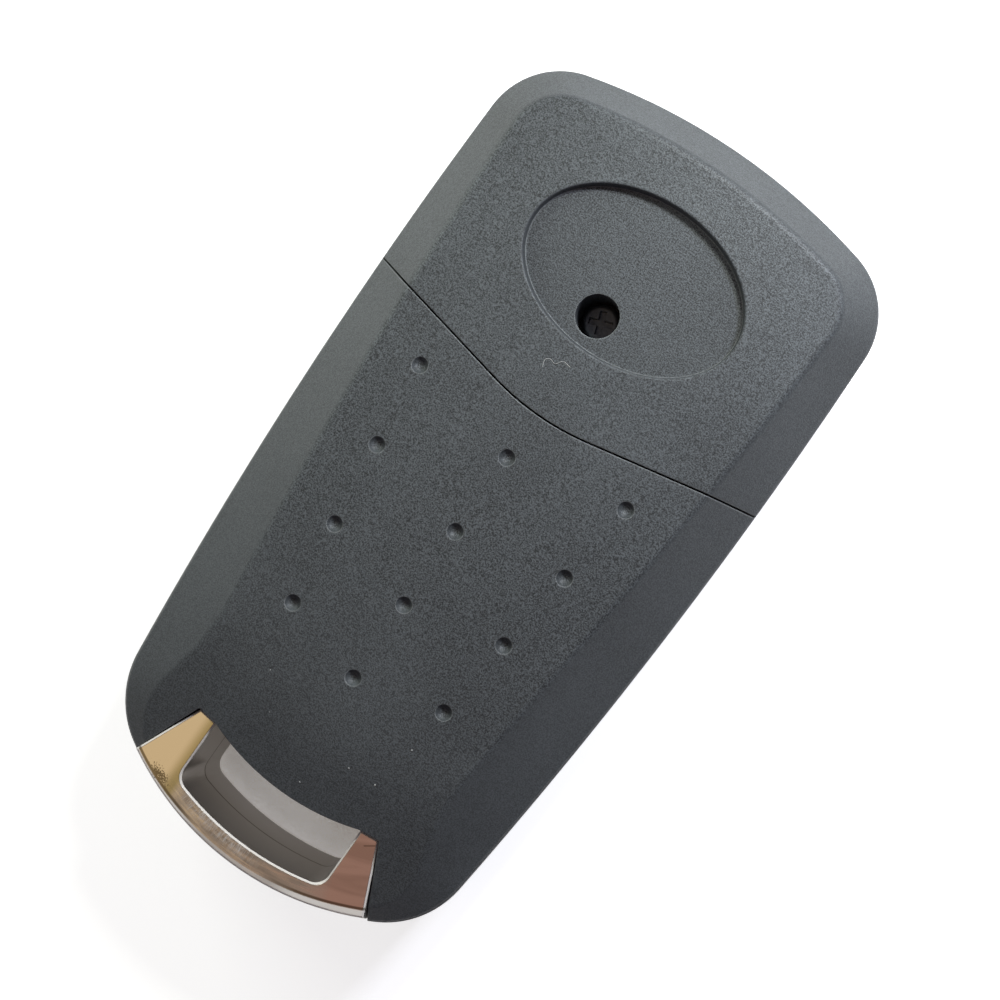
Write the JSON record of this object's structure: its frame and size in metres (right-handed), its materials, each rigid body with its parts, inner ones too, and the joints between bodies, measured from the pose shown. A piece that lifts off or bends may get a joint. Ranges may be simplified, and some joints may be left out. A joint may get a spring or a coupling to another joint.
{
  "type": "folding car key remote housing",
  "caption": "Housing of a folding car key remote: two casings, battery cover, chrome ring bar, swinging blade, release button and lock and unlock keys.",
  "frame": {"origin": "middle of the footprint, on the surface that the key lies on", "axes": "+X across the key towards the blade's side, +Y from the ring bar to the head, +Z from the button face up to the back face"},
  "size_m": [0.0386, 0.074, 0.0155],
  "materials": {
    "casing_plastic": "fine spark-eroded grain, charcoal black",
    "key_plastic": "finer grain than the casing",
    "silicone": "dull grey silicone",
    "bar_chrome": "bright chrome plate, scuffed along the outer edge",
    "button_chrome": "bright chrome plate",
    "hub_metal": "nickel-plated die casting, satin",
    "blade_steel": "nickel-plated, fine lengthways grain",
    "pin_steel": "spring steel",
    "spring_steel": "drawn wire",
    "screw_steel": "black zinc"
  },
  "bodies": {
    "casing": {"front_casing": "casing_plastic", "rear_casing": "casing_plastic", "key_ring_bar": "bar_chrome", "casing_screw": "screw_steel", "button_pad": "silicone"},
    "cover": {"battery_cover": "casing_plastic"},
    "blade": {"blade_hub": "hub_metal", "key_blade": "blade_steel", "blade_pin": "pin_steel", "flip_spring": "spring_steel"},
    "release": {"release_button": "button_chrome"},
    "lock": {"lock_key": "key_plastic"},
    "unlock": {"unlock_key": "key_plastic"}
  },
  "joints": [
    {"name": "blade_flip", "type": "hinge", "parent": "casing", "child": "blade", "pos_m": [0.0115, 0.0278, 0.0069], "axis": [0, 0, 1], "range_deg": [0, 180]},
    {"name": "release_press", "type": "slide", "parent": "blade", "child": "release", "axis": [0, 0, 1], "range_m": [0, 0.002], "stiffness_N_per_m": 1200, "springref_m": -0.001, "deforming": ["flip_spring"]},
    {"name": "lock_press", "type": "slide", "parent": "casing", "child": "lock", "axis": [0, 0, 1], "range_m": [0, 0.0008], "stiffness_N_per_m": 1800, "springref_m": -0.0002, "deforming": ["button_pad"]},
    {"name": "unlock_press", "type": "slide", "parent": "casing", "child": "unlock", "axis": [0, 0, 1], "range_m": [0, 0.0008], "stiffness_N_per_m": 1800, "springref_m": -0.0002},
    {"name": "cover_lift", "type": "slide", "parent": "casing", "child": "cover", "axis": [0, 0, 1], "range_m": [0, 0.014]}
  ]
}
